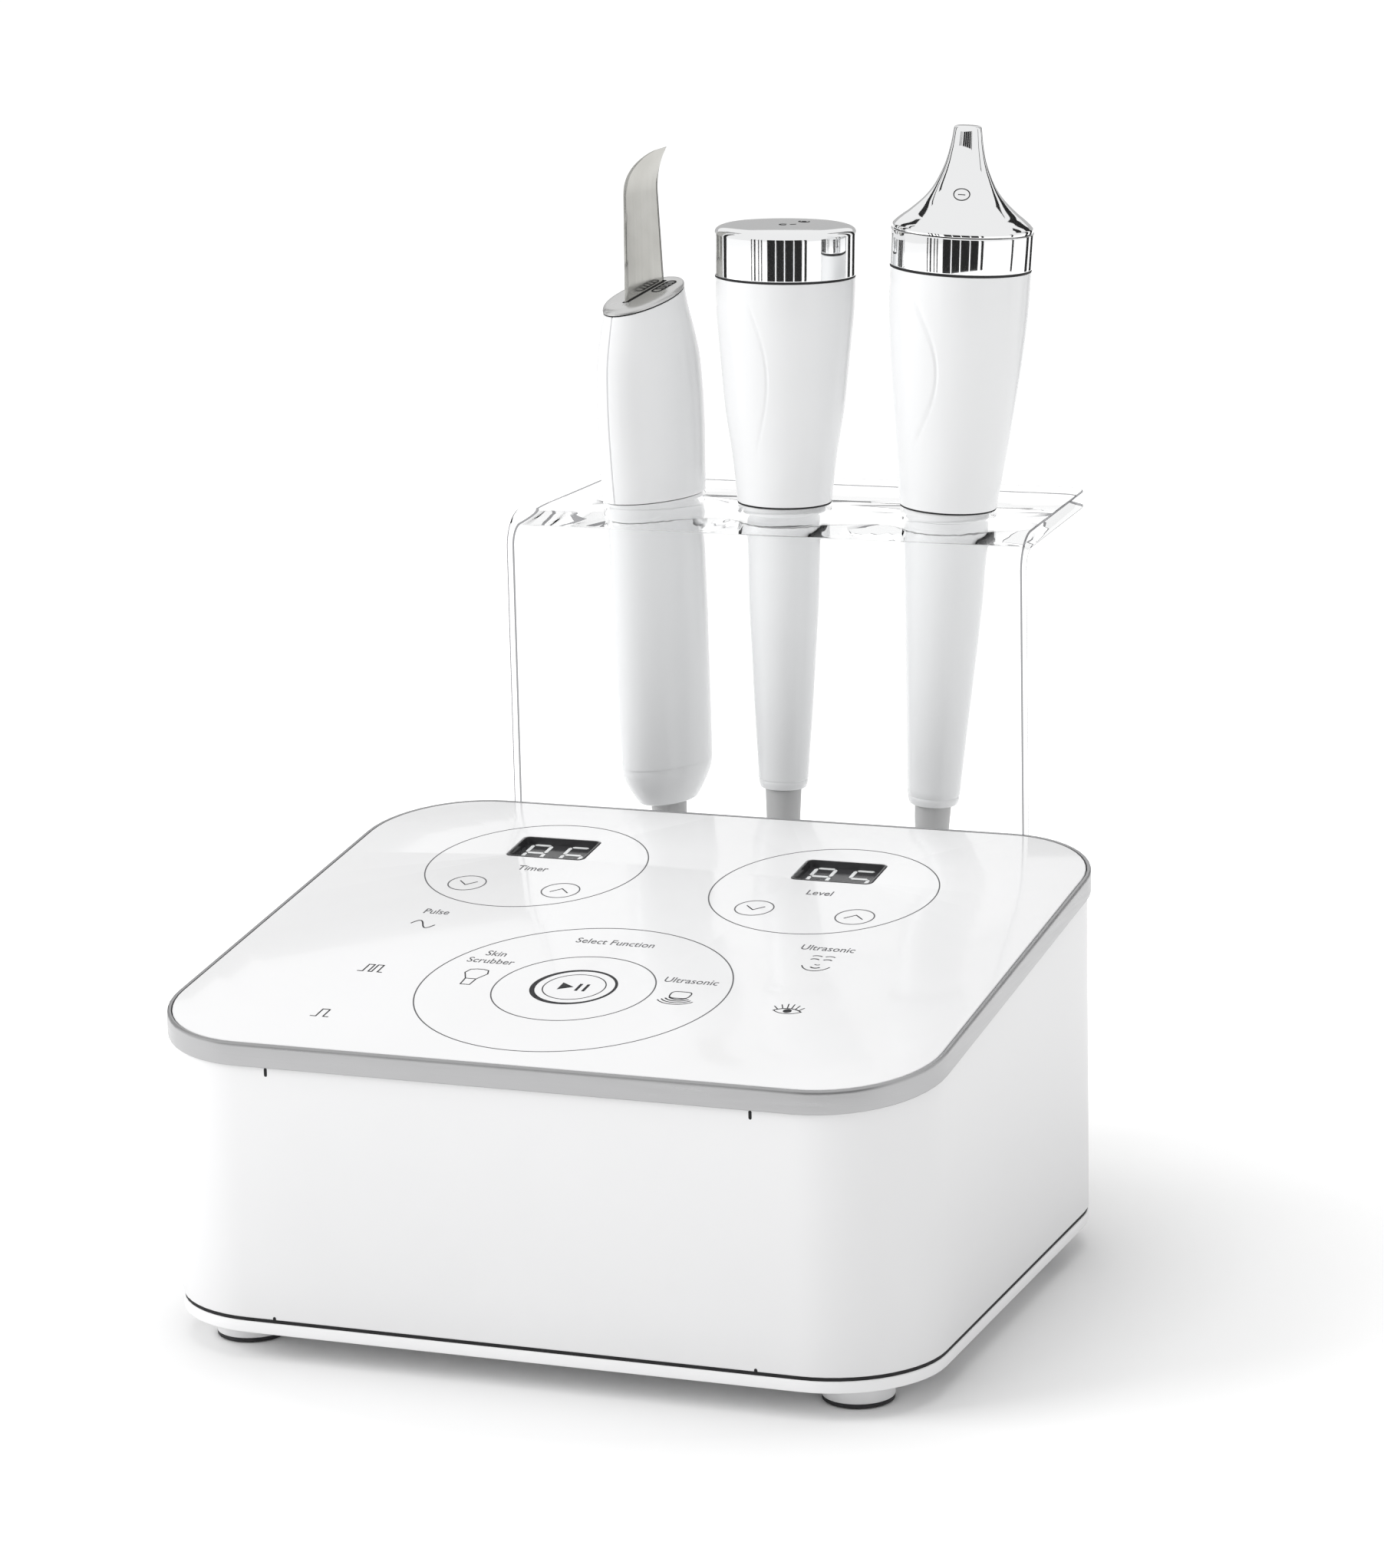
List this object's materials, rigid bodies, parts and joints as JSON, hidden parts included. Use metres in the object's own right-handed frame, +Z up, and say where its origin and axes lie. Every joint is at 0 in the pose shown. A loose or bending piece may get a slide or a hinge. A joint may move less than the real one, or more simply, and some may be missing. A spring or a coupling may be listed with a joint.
{
  "type": "facial skin scrubber unit",
  "caption": "Wedge-shaped white touch-panel console with a bent clear holder behind it, carrying a spatula scrubber, a flat face probe and a pointed eye probe.",
  "frame": {"origin": "bottom centre of the bounding box, on the surface under the feet", "axes": "+Z up, +X to the viewer's right when facing the panel, +Y from the front to the back"},
  "size_m": [0.21, 0.2584, 0.2964],
  "materials": {
    "white_shell": "satin",
    "white_panel": "polished",
    "white_handpiece": "gloss",
    "silver_trim": "satin",
    "chrome_plate": "polished",
    "bright_steel": "satin",
    "clear_sheet": "polished",
    "grey_rubber": "matte",
    "rubber_pad": "matte",
    "black_plastic": "satin",
    "dark_window": "gloss",
    "circuit_board": "satin",
    "laminated_steel": "matte",
    "bare_aluminium": "satin"
  },
  "bodies": {
    "console": {"body_shell": "white_shell", "bottom_plate": "white_shell", "top_rim": "silver_trim", "touch_panel": "white_panel", "timer_display": "dark_window", "level_display": "dark_window", "control_board": "circuit_board", "main_board": "circuit_board", "driver_board": "circuit_board", "mains_transformer": "laminated_steel", "heat_sink": "bare_aluminium", "buzzer": "black_plastic", "scrubber_socket": "black_plastic", "face_probe_socket": "black_plastic", "eye_probe_socket": "black_plastic", "power_inlet": "black_plastic", "switch_frame": "black_plastic", "fuse_cap": "black_plastic", "acrylic_holder": "clear_sheet", "foot_front_left": "white_shell", "foot_front_right": "white_shell", "foot_rear_left": "white_shell", "foot_rear_right": "white_shell", "foot_pad_front_left": "rubber_pad", "foot_pad_front_right": "rubber_pad", "foot_pad_rear_left": "rubber_pad", "foot_pad_rear_right": "rubber_pad", "holder_screw_1": "bright_steel", "holder_screw_2": "bright_steel", "holder_screw_3": "bright_steel", "holder_screw_4": "bright_steel", "case_screw_1": "bright_steel", "case_screw_2": "bright_steel", "case_screw_3": "bright_steel", "case_screw_4": "bright_steel"},
    "rocker": {"power_rocker": "black_plastic"},
    "scrubber": {"scrubber_bezel": "silver_trim", "scrubber_blade": "bright_steel", "scrubber_grip": "white_handpiece", "scrubber_barrel": "white_handpiece", "scrubber_end_cap": "white_handpiece", "scrubber_transducer": "bare_aluminium", "scrubber_strain_relief": "grey_rubber"},
    "face_probe": {"face_probe_head": "chrome_plate", "face_probe_body": "white_handpiece", "face_probe_collar": "white_handpiece", "face_probe_tube": "white_handpiece", "face_probe_transducer": "bare_aluminium", "face_probe_strain_relief": "grey_rubber"},
    "eye_probe": {"eye_probe_tip": "chrome_plate", "eye_probe_ring": "chrome_plate", "eye_probe_body": "white_handpiece", "eye_probe_collar": "white_handpiece", "eye_probe_tube": "white_handpiece", "eye_probe_transducer": "bare_aluminium", "eye_probe_strain_relief": "grey_rubber"}
  },
  "joints": [
    {"name": "scrubber_lift_out", "type": "slide", "parent": "console", "child": "scrubber", "axis": [-0.0279, 0, 0.9996], "range_m": [0, 0.125]},
    {"name": "face_probe_lift_out", "type": "slide", "parent": "console", "child": "face_probe", "axis": [0.0227, 0, 0.9997], "range_m": [0, 0.12]},
    {"name": "eye_probe_lift_out", "type": "slide", "parent": "console", "child": "eye_probe", "axis": [0.0663, 0, 0.9978], "range_m": [0, 0.12]},
    {"name": "power_rocker_tilt", "type": "hinge", "parent": "console", "child": "rocker", "pos_m": [0.028, 0.0486, 0.033], "axis": [1, 0, 0], "range_deg": [-24, 0]}
  ]
}
